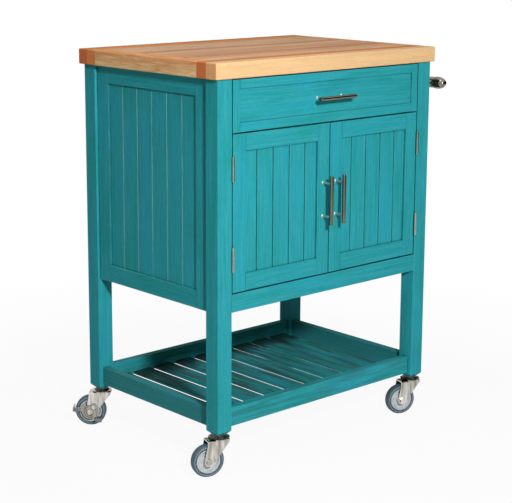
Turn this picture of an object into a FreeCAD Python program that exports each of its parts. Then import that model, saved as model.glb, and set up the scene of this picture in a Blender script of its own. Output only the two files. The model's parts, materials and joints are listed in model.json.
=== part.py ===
import FreeCAD, Part
import math
import os

Vec = FreeCAD.Vector

# Overall sizes of the cart, in millimetres
cart_height = 909.0
frame_width = 667.0
frame_depth = 472.0
leg_size = 40.0
caster_height = 96.0

# Butcher-block top
top_thickness = 35.0
top_side_overhang = 9.5
top_front_overhang = 6.5
top_back_overhang = 8.5
top_edge_radius = 2.5
end_strip_width = 34.0
through_strip_width = 32.0
through_strips_per_edge = 2
inner_stave_count = 10

# Legs
leg_foot_chamfer = 7.0
leg_edge_radius = 1.5

# Frame-and-panel walls
wall_setback = 7.0
wall_thickness = 20.0
wall_stile_width = 41.0
wall_rail_width = 40.0
wall_plank_width = 52.7
panel_thickness = 8.0
panel_setback = 4.5
panel_tongue = 8.0
groove_width = 3.6
groove_depth = 2.4

# Front rails, doors and drawer front
case_bottom = 369.0
bottom_rail_height = 40.0
front_thickness = 19.0
front_setback = 1.0
front_gap = 3.0
drawer_front_height = 112.0
door_stile_width = 37.0
door_rail_width = 38.0
door_plank_width = 48.0
drawer_border_width = 20.0
drawer_panel_setback = 3.0
inner_rail_depth = 40.0
inner_rail_height = 20.0
inner_rail_clearance = 1.0
frame_edge_radius = 1.0

# Cupboard inside
floor_thickness = 12.0
cleat_size = 15.0
shelf_thickness = 15.0
shelf_height = 580.0
shelf_clearance = 1.0
shelf_front_clearance = 4.0
shelf_pin_radius = 2.5
shelf_pin_reach = 9.0
shelf_pin_sink = 10.0
shelf_pin_inset = 33.0

# Drawer box and its slides
drawer_board = 12.0
drawer_box_height = 74.0
drawer_rear_gap = 19.0
drawer_bottom_thickness = 6.0
drawer_bottom_lift = 8.0
drawer_groove = 6.0
slide_space = 13.0
slide_height = 35.0
slide_sheet = 1.5
slide_running_gap = 0.3
slide_end_gap = 6.0
batten_height = 52.0

# Lower shelf
stretcher_bottom = 107.0
stretcher_height = 42.0
stretcher_thickness = 19.0
stretcher_setback = 11.0
slat_count = 9
slat_width = 43.5
slat_thickness = 10.0
slat_seat = 8.0
slat_edge_radius = 1.5

# Butt hinges and magnetic catches
hinge_length = 54.0
hinge_inset = 47.0
hinge_leaf_width = 16.0
hinge_leaf_thickness = 1.2
hinge_barrel_radius = 3.0
hinge_barrel_lift = 0.2
hinge_pin_radius = 1.2
hinge_pin_clearance = 0.05
hinge_knuckles = 5
hinge_knuckle_gap = 0.3
hinge_tip_radius = 1.8
hinge_tip_height = 1.5
catch_width = 42.0
catch_height = 12.0
catch_depth = 16.0
catch_offset = 60.0
strike_thickness = 1.2
strike_width = 32.0
strike_gap = 0.3

# Bar pulls
pull_length = 112.0
pull_spacing = 76.0
pull_reach = 27.0
pull_bar_radius = 4.6
pull_bar_chamfer = 0.6
pull_post_radius = 2.6
pull_post_depth = 3.6
pull_post_clearance = 0.05
pull_foot_radius = 4.0
pull_foot_height = 1.6

# Towel bar on the right side
towel_drop = 55.0
towel_standoff = 45.0
towel_rod_radius = 8.0
towel_post_inset = 26.0
towel_post_radius = 6.5
towel_flange_radius = 15.0
towel_flange_thickness = 4.0
towel_collar_radius = 13.5
towel_collar_length = 18.0
towel_socket_clearance = 0.1
finial_radius = 14.5
finial_ring_length = 3.0
finial_groove_radius = 12.5
finial_groove_length = 1.5
finial_dome_length = 23.0

# Swivel casters
wheel_radius = 37.0
tyre_width = 20.0
tyre_shoulder = 5.0
tyre_shoulder_inset = 1.5
caster_trail = 27.0
hub_radius = 27.0
hub_rim_width = 17.0
hub_rim_thickness = 3.0
hub_web_width = 7.0
hub_boss_radius = 9.0
hub_boss_width = 25.0
tyre_seat_gap = 0.05
axle_radius = 4.0
axle_hub_clearance = 0.05
axle_fork_clearance = 0.1
axle_head_radius = 6.8
axle_head_height = 3.6
stem_radius = 5.0
stem_length = 38.0
stem_bore_clearance = 0.1
stem_flange_radius = 14.0
stem_flange_thickness = 3.0
race_radius = 18.0
race_height = 4.0
kingpin_radius = 5.0
kingpin_clearance = 0.05
kingpin_head_radius = 7.5
kingpin_head_height = 3.0
swivel_gap = 0.3
fork_cup_radius = 24.0
fork_cup_foot_radius = 18.0
fork_cup_height = 4.5
fork_plate = 2.6
fork_inner_width = 26.4
fork_front_reach = 22.0
fork_back_reach = 30.0
fork_skirt = 5.0
fork_end_radius = 10.5
fork_panel_reach = 14.0
fork_brow = 25.0
fork_brow_reach = 5.5
fork_bend_radius = 2.0
fork_joggle = 2.0
fork_lean = 0.05

# Brake levers of the rear casters
brake_pivot_x = 9.0
brake_pivot_z = 12.5
brake_plate = 2.5
brake_side_gap = 0.5
brake_pivot_radius = 2.5
brake_pivot_clearance = 0.05
brake_pivot_head_radius = 5.0
brake_pivot_head_height = 1.6
brake_arm_radius = 4.0
brake_hub_radius = 7.0
brake_fan_radius = 17.5
brake_fan_lift = 10.0
brake_axle_hole_radius = 10.3
brake_web_share = 0.3
brake_shoe_gap = 2.6
brake_shoe_lift = 5.0
brake_shoe_height = 11.0
brake_tip_inset = 1.5
brake_tip_length = 8.0
brake_tip_thickness = 3.0
brake_foot_x = 21.0
brake_foot_z = -19.0
brake_pad_length = 15.0
brake_pad_width = 11.0
brake_pad_thickness = 8.0
brake_pad_edge_radius = 1.2

# Swivel angle of each caster at rest, in degrees
caster_angles = {
    "front_left": -21.0,
    "front_right": -21.0,
    "rear_left": -44.0,
    "rear_right": -32.0,
}

# Edges whose direction strays less than this from an axis count as lying along it
parallel_limit = 0.1

# Levels and faces worked out from the sizes above
leg_top = cart_height - top_thickness
leg_bottom = caster_height
half_width = frame_width / 2
half_depth = frame_depth / 2
leg_inner_x = half_width - leg_size
leg_inner_y = half_depth - leg_size
leg_axis_x = half_width - leg_size / 2
leg_axis_y = half_depth - leg_size / 2
case_floor = case_bottom + bottom_rail_height
front_face = -half_depth + front_setback
front_back = front_face + front_thickness
drawer_front_high = leg_top - front_gap
drawer_front_low = drawer_front_high - drawer_front_height
door_low = case_floor + front_gap
door_high = drawer_front_low - front_gap
door_width = (2 * leg_inner_x - 3 * front_gap) / 2
door_outer_x = -leg_inner_x + front_gap
door_mid_x = door_outer_x + door_width / 2
divider_mid = (drawer_front_low + door_high) / 2
wall_inner_x = half_width - wall_setback - wall_thickness
wall_inner_y = half_depth - wall_setback - wall_thickness
rail_front = front_back + inner_rail_clearance
rail_back = -half_depth + wall_thickness
top_left = -half_width - top_side_overhang
top_right = half_width + top_side_overhang
top_front = -half_depth - top_front_overhang
top_back = half_depth + top_back_overhang
towel_x = half_width + towel_standoff
towel_height = leg_top - towel_drop
hinge_axis_x = -leg_inner_x + front_gap / 2
hinge_axis_y = front_face - hinge_barrel_lift - hinge_barrel_radius
slide_mid = (drawer_front_low + drawer_front_high) / 2
drawer_rear = wall_inner_y - drawer_rear_gap

# Caster levels, measured from the floor, with the swivel line at x = 0 and the wheel trailing to -X
race_top = leg_bottom - stem_flange_thickness
race_low = race_top - race_height
cup_top = race_low - swivel_gap
crown_top = cup_top - fork_cup_height
crown_low = crown_top - fork_plate
kingpin_head_top = crown_low - swivel_gap
fork_outer = fork_inner_width / 2 + fork_plate

# Where each caster stands, and which casters have a brake
CASTER_PLACES = {
    "front_left": (-leg_axis_x, -leg_axis_y),
    "front_right": (leg_axis_x, -leg_axis_y),
    "rear_left": (-leg_axis_x, leg_axis_y),
    "rear_right": (leg_axis_x, leg_axis_y),
}
BRAKED = ("rear_left", "rear_right")

nodes = {}


def block(x0, x1, y0, y1, z0, z1):
    return Part.makeBox(x1 - x0, y1 - y0, z1 - z0, Vec(x0, y0, z0))


def rod(radius, start, direction, length):
    return Part.makeCylinder(radius, length, start, direction)


def outline(points):
    return Part.Face(Part.makePolygon(points + [points[0]]))


def turned(points, axis_point, axis):
    return outline(points).revolve(axis_point, axis, 360)


def long_edges(shape, axis):
    def lies_along(edge):
        return edge.tangentAt(edge.FirstParameter).cross(axis).Length < parallel_limit

    return [edge for edge in shape.Edges if lies_along(edge)]


def mirrored(shape):
    return shape.mirror(Vec(0, 0, 0), Vec(1, 0, 0))


def placed(shape, angle, x, y):
    copy = shape.copy()
    copy.rotate(Vec(0, 0, 0), Vec(0, 0, 1), angle)
    copy.translate(Vec(x, y, 0))
    return copy


# A wall, door or drawer front: two stiles and two rails grooved round a panel, with its face at y = 0
def framed_panel(width, low, high, stile, rail, thickness, setback, plank_width):
    edge = width / 2 - stile
    sill = low + rail
    head = high - rail
    groove_front = setback
    groove_back = setback + panel_thickness
    frame = []
    for side in (-1, 1):
        inner = side * edge
        outer = side * width / 2
        stile_board = block(min(inner, outer), max(inner, outer), 0, thickness, low, high)
        stile_board = stile_board.makeFillet(frame_edge_radius, face_edges(stile_board, Vec(0, 0, 1)))
        slot = inner + side * panel_tongue
        sides = (min(inner, slot), max(inner, slot))
        frame.append(stile_board.cut(block(*sides, groove_front, groove_back, low, high)))
    for foot, top, seam, step in ((low, sill, sill, -1), (head, high, head, 1)):
        rail_board = block(-edge, edge, 0, thickness, foot, top)
        rail_board = rail_board.makeFillet(frame_edge_radius, face_edges(rail_board, Vec(1, 0, 0)))
        slot = seam + step * panel_tongue
        levels = (min(seam, slot), max(seam, slot))
        rail_board = rail_board.cut(block(-edge, edge, groove_front, groove_back, *levels))
        tenon_low = low if step < 0 else slot
        tenon_high = slot if step < 0 else high
        for side in (-1, 1):
            tip = side * (edge + panel_tongue)
            root = side * edge
            tenon = block(min(tip, root), max(tip, root), groove_front, groove_back, tenon_low, tenon_high)
            rail_board = rail_board.fuse(tenon)
        frame.append(rail_board.removeSplitter())
    reach = edge + panel_tongue
    panel = block(-reach, reach, groove_front, groove_back, sill - panel_tongue, head + panel_tongue)
    return frame, grooved(panel, 2 * edge, groove_front, plank_width)


# The long edges on the face of a board that lies along the given axis
def face_edges(board, axis):
    return [edge for edge in long_edges(board, axis) if edge.CenterOfMass.y < frame_edge_radius]


# V grooves down the face of a panel, one plank width apart and centred
def grooved(panel, opening, face, plank_width):
    box = panel.BoundBox
    count = math.ceil(opening / plank_width) - 1
    for index in range(count):
        x = (index - (count - 1) / 2) * plank_width
        points = [
            Vec(x - groove_width / 2, face, box.ZMin),
            Vec(x + groove_width / 2, face, box.ZMin),
            Vec(x, face + groove_depth, box.ZMin),
        ]
        panel = panel.cut(outline(points).extrude(Vec(0, 0, box.ZLength)))
    return panel


# Butcher-block top: two through strips at the front and back, an end strip at each side, staves between
def worktop():
    slab = block(top_left, top_right, top_front, top_back, leg_top, cart_height)
    slab = slab.makeFillet(top_edge_radius, slab.Edges)
    field_front = top_front + through_strips_per_edge * through_strip_width
    field_back = top_back - through_strips_per_edge * through_strip_width
    strips = []
    for index in range(through_strips_per_edge):
        for low in (top_front + index * through_strip_width, field_back + index * through_strip_width):
            strips.append((top_left, top_right, low, low + through_strip_width))
    ends = []
    for low in (top_left, top_right - end_strip_width):
        ends.append((low, low + end_strip_width, field_front, field_back))
    stave_width = (field_back - field_front) / inner_stave_count
    staves = []
    for index in range(inner_stave_count):
        low = field_front + index * stave_width
        staves.append((top_left + end_strip_width, top_right - end_strip_width, low, low + stave_width))
    for name, group in (("edge_strips", strips), ("end_strips", ends), ("staves", staves)):
        nodes["worktop_" + name] = [slab.common(block(*sides, leg_top, cart_height)) for sides in group]


# Square leg with a chamfered foot, a bore for the caster stem and a hole for its shelf pin
def leg(x_mid, y_mid):
    post = block(-leg_size / 2, leg_size / 2, -leg_size / 2, leg_size / 2, leg_bottom, leg_top)
    foot = [edge for edge in post.Edges if edge.BoundBox.ZMax < leg_bottom + leg_foot_chamfer]
    post = post.makeChamfer(leg_foot_chamfer, foot)
    post = post.makeFillet(leg_edge_radius, long_edges(post, Vec(0, 0, 1)))
    post.translate(Vec(x_mid, y_mid, 0))
    bore_start = Vec(x_mid, y_mid, leg_bottom)
    bore_length = stem_length + stem_bore_clearance
    bore = rod(stem_radius + stem_bore_clearance, bore_start, Vec(0, 0, 1), bore_length)
    return post.cut(bore).cut(shelf_pin(x_mid, y_mid))


# Pin pushed into the inner face of a leg, under the cupboard shelf
def shelf_pin(x_mid, y_mid):
    inward = -math.copysign(1, x_mid)
    start = -inward * (leg_inner_x + shelf_pin_sink)
    y = math.copysign(half_depth - shelf_pin_inset, y_mid)
    z = shelf_height - shelf_pin_radius
    return rod(shelf_pin_radius, Vec(start, y, z), Vec(inward, 0, 0), shelf_pin_sink + shelf_pin_reach)


# Side and back walls between the legs
def walls():
    side_width = 2 * leg_inner_y
    back_width = 2 * leg_inner_x
    face_x = half_width - wall_setback
    face_y = half_depth - wall_setback
    for name, width, angle, x, y in (
        ("left_side", side_width, -90, -face_x, 0),
        ("right_side", side_width, 90, face_x, 0),
        ("back", back_width, 180, 0, face_y),
    ):
        frame, panel = framed_panel(
            width, case_bottom, leg_top, wall_stile_width, wall_rail_width,
            wall_thickness, panel_setback, wall_plank_width)
        nodes[name + "_frame"] = [placed(board, angle, x, y) for board in frame]
        nodes[name + "_panel"] = [placed(panel, angle, x, y)]


# Rails across the front: one shows under the doors, two stand behind the drawer front and doors
def front_rails():
    rail = block(-leg_inner_x, leg_inner_x, -half_depth, rail_back, case_bottom, case_floor)
    nodes["front_bottom_rail"] = [rail.makeFillet(frame_edge_radius, front_edges(rail))]
    back = rail_front + inner_rail_depth
    inner = []
    for low in (divider_mid - inner_rail_height / 2, leg_top - inner_rail_height):
        inner.append(block(-leg_inner_x, leg_inner_x, rail_front, back, low, low + inner_rail_height))
    nodes["inner_front_rails"] = inner


def front_edges(rail):
    return [edge for edge in long_edges(rail, Vec(1, 0, 0)) if edge.CenterOfMass.y < rail.CenterOfMass.y]


# Floor, battens, loose shelf and pins inside the cupboard
def cupboard_inside():
    floor_low = case_floor - floor_thickness
    floor = block(-wall_inner_x, wall_inner_x, rail_back, wall_inner_y, floor_low, case_floor)
    for x_mid, y_mid in CASTER_PLACES.values():
        floor = floor.cut(leg_notch(x_mid, y_mid))
    nodes["cupboard_floor"] = [floor]
    battens = []
    for side in (-1, 1):
        wall = side * wall_inner_x
        cleat_edge = wall - side * cleat_size
        sides = (min(wall, cleat_edge), max(wall, cleat_edge), -leg_inner_y, leg_inner_y)
        battens.append(block(*sides, floor_low - cleat_size, floor_low))
        slide_edge = side * leg_inner_x
        sides = (min(wall, slide_edge), max(wall, slide_edge), -leg_inner_y, leg_inner_y)
        battens.append(block(*sides, slide_mid - batten_height / 2, slide_mid + batten_height / 2))
    nodes["case_battens"] = battens
    shelf_edge = leg_inner_x - shelf_clearance
    nodes["cupboard_shelf"] = [block(
        -shelf_edge, shelf_edge, front_back + shelf_front_clearance, wall_inner_y - shelf_clearance,
        shelf_height, shelf_height + shelf_thickness)]
    nodes["shelf_pins"] = [shelf_pin(x_mid, y_mid) for x_mid, y_mid in CASTER_PLACES.values()]


def leg_notch(x_mid, y_mid):
    half = leg_size / 2
    return block(x_mid - half, x_mid + half, y_mid - half, y_mid + half, case_bottom, leg_top)


# Stretchers with a rebate along their lower inner edge, and the slats that seat in it
def lower_shelf():
    high = stretcher_bottom + stretcher_height
    outer_y = half_depth - stretcher_setback
    inner_y = outer_y - stretcher_thickness
    outer_x = half_width - stretcher_setback
    inner_x = outer_x - stretcher_thickness
    seat_y = inner_y + slat_seat
    slat_top = stretcher_bottom + slat_thickness
    seat = block(-leg_inner_x, leg_inner_x, -seat_y, seat_y, stretcher_bottom, slat_top)
    stretchers = []
    for side in (-1, 1):
        near = min(side * inner_y, side * outer_y)
        far = max(side * inner_y, side * outer_y)
        board = block(-leg_inner_x, leg_inner_x, near, far, stretcher_bottom, high)
        board = board.makeFillet(frame_edge_radius, long_edges(board, Vec(1, 0, 0)))
        stretchers.append(board.cut(seat))
        near = min(side * inner_x, side * outer_x)
        far = max(side * inner_x, side * outer_x)
        board = block(near, far, -leg_inner_y, leg_inner_y, stretcher_bottom, high)
        stretchers.append(board.makeFillet(frame_edge_radius, long_edges(board, Vec(0, 1, 0))))
    nodes["shelf_stretchers"] = stretchers
    gap = (2 * inner_x - slat_count * slat_width) / (slat_count + 1)
    slats = []
    for index in range(slat_count):
        low = -inner_x + gap + index * (slat_width + gap)
        slat = block(low, low + slat_width, -seat_y, seat_y, stretcher_bottom, slat_top)
        upper = [edge for edge in long_edges(slat, Vec(0, 1, 0)) if edge.CenterOfMass.z > stretcher_bottom]
        slats.append(slat.makeFillet(slat_edge_radius, upper))
    nodes["shelf_slats"] = slats


# Bar pull standing off a face: its bar lies along Z and its posts along Y, from y = 0 to y = -pull_reach
def bar_pull():
    bar = rod(pull_bar_radius, Vec(0, -pull_reach, -pull_length / 2), Vec(0, 0, 1), pull_length)
    bar = bar.makeChamfer(pull_bar_chamfer, [edge for edge in bar.Edges if edge.isClosed()])
    tip = pull_reach - pull_bar_radius + pull_post_depth
    out = Vec(0, -1, 0)
    pieces = []
    for z in (-pull_spacing / 2, pull_spacing / 2):
        start = Vec(0, 0, z)
        post = rod(pull_post_radius, start, out, tip)
        foot = Part.makeCone(pull_foot_radius, pull_post_radius, pull_foot_height, start, out)
        bar = bar.cut(rod(pull_post_radius + pull_post_clearance, start, out, tip))
        pieces.append(post.fuse(foot).removeSplitter())
    return [bar] + pieces


# Butt hinge at the left door's edge: alternate knuckles belong to the leg leaf and the door leaf
def hinge(low):
    axis_x = hinge_axis_x
    axis_y = hinge_axis_y
    length = (hinge_length - (hinge_knuckles - 1) * hinge_knuckle_gap) / hinge_knuckles
    inner = hinge_barrel_radius + hinge_knuckle_gap
    leaves = {}
    for name, side in (("leg", -1), ("door", 1)):
        face = axis_x + side * front_gap / 2
        back = face - side * hinge_leaf_thickness
        sides = (min(face, back), max(face, back))
        leaf = block(*sides, axis_y + inner, axis_y + inner + hinge_leaf_width, low, low + hinge_length)
        leaves[name] = (leaf, sides)
    for index in range(hinge_knuckles):
        name = "leg" if index % 2 == 0 else "door"
        leaf, sides = leaves[name]
        foot = low + index * (length + hinge_knuckle_gap)
        web = block(*sides, axis_y, axis_y + inner, foot, foot + length)
        knuckle = rod(hinge_barrel_radius, Vec(axis_x, axis_y, foot), Vec(0, 0, 1), length)
        leaves[name] = (leaf.fuse(web).fuse(knuckle), sides)
    bore = hinge_pin_radius + hinge_pin_clearance
    hole = rod(bore, Vec(axis_x, axis_y, low), Vec(0, 0, 1), hinge_length)
    pin = rod(hinge_pin_radius, Vec(axis_x, axis_y, low), Vec(0, 0, 1), hinge_length)
    for foot in (low - hinge_tip_height, low + hinge_length):
        pin = pin.fuse(rod(hinge_tip_radius, Vec(axis_x, axis_y, foot), Vec(0, 0, 1), hinge_tip_height))
    leg_leaf = leaves["leg"][0].cut(hole).removeSplitter()
    door_leaf = leaves["door"][0].cut(hole).removeSplitter()
    return leg_leaf, door_leaf, pin.removeSplitter()


# Left door with its hinges, pull and strike plate; the right door is its mirror image
def doors():
    frame, panel = framed_panel(
        door_width, door_low, door_high, door_stile_width, door_rail_width,
        front_thickness, panel_setback, door_plank_width)
    left = {
        "door_frame": [placed(board, 0, door_mid_x, front_face) for board in frame],
        "door_panel": [placed(panel, 0, door_mid_x, front_face)],
        "door_hinge_leaves": [],
        "door_pull": [],
    }
    leg_side = []
    for low in (door_low + hinge_inset, door_high - hinge_inset - hinge_length):
        leg_leaf, door_leaf, pin = hinge(low)
        leg_side += [leg_leaf, pin]
        left["door_hinge_leaves"].append(door_leaf)
    pull_x = -front_gap / 2 - door_stile_width / 2
    pull_z = (door_low + door_high) / 2
    for piece in bar_pull():
        piece.translate(Vec(pull_x, front_face, pull_z))
        left["door_pull"].append(piece)
    strike_mid = -catch_offset
    catch_top = divider_mid - inner_rail_height / 2
    strike_back = front_back + strike_thickness
    left["door_strike"] = [block(
        strike_mid - strike_width / 2, strike_mid + strike_width / 2, front_back, strike_back,
        catch_top - catch_height, catch_top)]
    catch_front = strike_back + strike_gap
    catch = block(
        strike_mid - catch_width / 2, strike_mid + catch_width / 2, catch_front, catch_front + catch_depth,
        catch_top - catch_height, catch_top)
    for name, pieces in left.items():
        nodes["left_" + name] = pieces
        nodes["right_" + name] = [mirrored(piece) for piece in pieces]
    nodes["hinge_leg_leaves"] = leg_side + [mirrored(piece) for piece in leg_side]
    nodes["door_catches"] = [catch, mirrored(catch)]


# Drawer: bordered front, open box with a grooved-in bottom, and a bar pull
def drawer():
    width = 2 * leg_inner_x - 2 * front_gap
    frame, panel = framed_panel(
        width, drawer_front_low, drawer_front_high, drawer_border_width, drawer_border_width,
        front_thickness, drawer_panel_setback, width)
    nodes["drawer_front_frame"] = [placed(board, 0, 0, front_face) for board in frame]
    nodes["drawer_front_panel"] = [placed(panel, 0, 0, front_face)]
    outer = leg_inner_x - slide_space
    inner = outer - drawer_board
    box_low = slide_mid - drawer_box_height / 2
    box_high = slide_mid + drawer_box_height / 2
    bottom_low = box_low + drawer_bottom_lift
    bottom_high = bottom_low + drawer_bottom_thickness
    reach = inner + drawer_groove
    bottom_front = front_back + drawer_board - drawer_groove
    bottom_back = drawer_rear - drawer_board + drawer_groove
    bottom = block(-reach, reach, bottom_front, bottom_back, bottom_low, bottom_high)
    sides = []
    for side in (-1, 1):
        faces = (min(side * inner, side * outer), max(side * inner, side * outer))
        sides.append(block(*faces, front_back, drawer_rear, box_low, box_high).cut(bottom))
    ends = []
    for near in (front_back, drawer_rear - drawer_board):
        ends.append(block(-inner, inner, near, near + drawer_board, box_low, box_high).cut(bottom))
    nodes["drawer_sides"] = sides
    nodes["drawer_ends"] = ends
    nodes["drawer_bottom"] = [bottom]
    pull_z = (drawer_front_low + drawer_front_high) / 2
    pull = []
    for piece in bar_pull():
        piece.rotate(Vec(0, 0, 0), Vec(0, 1, 0), 90)
        piece.translate(Vec(0, front_face + drawer_panel_setback, pull_z))
        pull.append(piece)
    nodes["drawer_pull"] = pull


# Nested steel channels: the outer pair on the battens, the inner pair on the drawer sides
def slides():
    channels = []
    rails = []
    half = slide_height / 2
    inner_half = half - slide_sheet - slide_running_gap
    for side in (-1, 1):
        wall = side * leg_inner_x
        box_side = side * (leg_inner_x - slide_space)
        channel_lip = wall - side * (slide_space - slide_running_gap - slide_sheet)
        rail_lip = box_side + side * (slide_space - slide_running_gap - slide_sheet)
        front = -leg_inner_y
        back = leg_inner_y - slide_end_gap
        channels.append(channel(wall, channel_lip, half, front, back))
        rails.append(channel(box_side, rail_lip, inner_half, front, back))
    nodes["drawer_slide_channels"] = channels
    nodes["drawer_slide_rails"] = rails


# C-shaped channel along Y, with its web on one face and its lips towards the other
def channel(web_face, lip_end, half, front, back):
    inward = math.copysign(1, lip_end - web_face)
    hollow_start = web_face + inward * slide_sheet
    outer = (min(web_face, lip_end), max(web_face, lip_end))
    inner = (min(hollow_start, lip_end), max(hollow_start, lip_end))
    hollow_half = half - slide_sheet
    body = block(*outer, front, back, slide_mid - half, slide_mid + half)
    return body.cut(block(*inner, front, back, slide_mid - hollow_half, slide_mid + hollow_half))


# Towel bar: a rod between two collared posts on the right legs, capped by domed finials
def towel_bar():
    collar_mid = half_depth - towel_post_inset
    collar_end = collar_mid + towel_collar_length / 2
    start = Vec(towel_x, -collar_end, towel_height)
    rod_length = 2 * collar_end
    nodes["towel_rod"] = [rod(towel_rod_radius, start, Vec(0, 1, 0), rod_length)]
    socket = rod(towel_rod_radius + towel_socket_clearance, start, Vec(0, 1, 0), rod_length)
    fittings = []
    for side in (-1, 1):
        y = side * collar_mid
        wall = Vec(half_width, y, towel_height)
        flange = Part.makeCone(
            towel_flange_radius, towel_post_radius, towel_flange_thickness, wall, Vec(1, 0, 0))
        neck = rod(towel_post_radius, wall, Vec(1, 0, 0), towel_standoff)
        collar_start = Vec(towel_x, y - towel_collar_length / 2, towel_height)
        collar = rod(towel_collar_radius, collar_start, Vec(0, 1, 0), towel_collar_length)
        fittings.append(flange.fuse(neck).fuse(collar).cut(socket).removeSplitter())
        fittings.append(finial(Vec(towel_x, side * collar_end, towel_height), side))
    nodes["towel_fittings"] = fittings


# Bullet-shaped cap with a ring, turned about the rod's line and pointing out of the rod's end
def finial(base, side):
    ring_end = finial_ring_length
    dome_start = ring_end + finial_groove_length
    tip = dome_start + finial_dome_length
    profile = [
        Part.LineSegment(Vec(0, 0, 0), Vec(finial_radius, 0, 0)),
        Part.LineSegment(Vec(finial_radius, 0, 0), Vec(finial_radius, 0, ring_end)),
        Part.LineSegment(Vec(finial_radius, 0, ring_end), Vec(finial_groove_radius, 0, ring_end)),
        Part.LineSegment(Vec(finial_groove_radius, 0, ring_end), Vec(finial_groove_radius, 0, dome_start)),
        Part.LineSegment(Vec(finial_groove_radius, 0, dome_start), Vec(finial_radius, 0, dome_start)),
        dome_curve(dome_start),
        Part.LineSegment(Vec(0, 0, tip), Vec(0, 0, 0)),
    ]
    face = Part.Face(Part.Wire([piece.toShape() for piece in profile]))
    cap = face.revolve(Vec(0, 0, 0), Vec(0, 0, 1), 360)
    cap.rotate(Vec(0, 0, 0), Vec(1, 0, 0), -90 * side)
    cap.translate(base)
    return cap


# Quarter of an ellipse from the dome's foot to its tip
def dome_curve(foot):
    middle = Vec(0, 0, foot)
    rim = Vec(finial_radius, 0, foot)
    tip = Vec(0, 0, foot + finial_dome_length)
    long_end, short_end = (tip, rim) if finial_dome_length >= finial_radius else (rim, tip)
    ellipse = Part.Ellipse(long_end, short_end, middle)
    start = ellipse.parameter(rim)
    end = ellipse.parameter(tip)
    if abs(end - start) > math.pi:
        start, end = min(start, end) + 2 * math.pi, max(start, end)
    return ellipse.trim(min(start, end), max(start, end))


# Fixed stem: threaded shank in the leg, flange, bearing cap and kingpin with its head under the fork
def caster_stem():
    up = Vec(0, 0, 1)
    stem = rod(stem_radius, Vec(0, 0, leg_bottom), up, stem_length)
    flange = rod(stem_flange_radius, Vec(0, 0, race_top), up, stem_flange_thickness)
    race = Part.makeCone(race_radius, stem_flange_radius, race_height, Vec(0, 0, race_low), up)
    pin_length = race_low - kingpin_head_top
    pin = rod(kingpin_radius, Vec(0, 0, kingpin_head_top), up, pin_length)
    head_low = kingpin_head_top - kingpin_head_height
    head = rod(kingpin_head_radius, Vec(0, 0, head_low), up, kingpin_head_height)
    return stem.fuse(flange).fuse(race).fuse(pin).fuse(head).removeSplitter()


# Pressed fork: a side profile drawn across the fork's width and trimmed to its plan, hollowed from below for
# the wheel, with a bearing cup on its crown
def caster_fork():
    axle = Vec(-caster_trail, 0, wheel_radius)
    skirt_z = crown_top - fork_skirt
    brow = Vec(fork_brow_reach, 0, crown_top - fork_brow)
    back_brow = Vec(-fork_back_reach, 0, skirt_z)
    front_foot = tangent_foot(brow, axle, fork_end_radius, 1)
    back_foot = tangent_foot(back_brow, axle, fork_end_radius, -1)
    points = [
        back_foot,
        back_brow,
        Vec(-fork_back_reach, 0, crown_top),
        Vec(fork_front_reach, 0, crown_top),
        Vec(fork_front_reach, 0, skirt_z),
        brow,
        front_foot,
    ]
    edges = [Part.makeLine(start, end) for start, end in zip(points, points[1:])]
    bottom = axle + Vec(0, 0, -fork_end_radius)
    edges.append(Part.Arc(front_foot, bottom, back_foot).toShape())
    profile = Part.Face(Part.Wire(edges))
    profile.translate(Vec(0, -fork_outer, 0))
    fork = profile.extrude(Vec(0, 2 * fork_outer, 0))
    bends = [edge for edge in long_edges(fork, Vec(1, 0, 0)) if edge.CenterOfMass.z > crown_low]
    fork = fork.makeFillet(fork_bend_radius, bends)
    fork = fork.common(fork_plan(fork_outer, crown_top)).cut(fork_plan(fork_inner_width / 2, crown_low))
    up = Vec(0, 0, 1)
    cup = Part.makeCone(fork_cup_foot_radius, fork_cup_radius, fork_cup_height, Vec(0, 0, crown_top), up)
    hole = rod(kingpin_radius + kingpin_clearance, Vec(0, 0, crown_low), up, cup_top - crown_low)
    axle_hole = rod(
        axle_radius + axle_fork_clearance, Vec(axle.x, -fork_outer, axle.z), Vec(0, 1, 0), 2 * fork_outer)
    return fork.fuse(cup).cut(hole).cut(axle_hole).removeSplitter()


# Prism over the fork's plan, at the given half width along the flat side panels, then stepped and leaning in
def fork_plan(half, high):
    back = -caster_trail - wheel_radius
    bend = -caster_trail + fork_panel_reach
    step = bend + fork_joggle
    front = 2 * fork_front_reach
    stepped = half - fork_joggle
    side = [
        Vec(back, half, 0),
        Vec(bend, half, 0),
        Vec(step, stepped, 0),
        Vec(front, stepped - fork_lean * (front - step), 0),
    ]
    return outline(side + [Vec(point.x, -point.y, 0) for point in reversed(side)]).extrude(Vec(0, 0, high))


# Where a line from a corner touches a circle about the axle, on the given side
def tangent_foot(corner, axle, radius, side):
    to_corner = corner - axle
    spread = math.acos(radius / to_corner.Length)
    angle = math.atan2(to_corner.z, to_corner.x) - side * spread
    return axle + Vec(radius * math.cos(angle), 0, radius * math.sin(angle))


# Axle bolt with a hexagonal head at one side and a nut at the other
def caster_axle():
    bolt = rod(axle_radius, Vec(-caster_trail, -fork_outer, wheel_radius), Vec(0, 1, 0), 2 * fork_outer)
    head = hexagon(-fork_outer - axle_head_height)
    nut = hexagon(fork_outer)
    return bolt.fuse(head).fuse(nut).removeSplitter()


def hexagon(y):
    points = []
    for corner in range(6):
        angle = math.radians(60 * corner + 30)
        x = -caster_trail + axle_head_radius * math.cos(angle)
        points.append(Vec(x, y, wheel_radius + axle_head_radius * math.sin(angle)))
    return outline(points).extrude(Vec(0, axle_head_height, 0))


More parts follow.
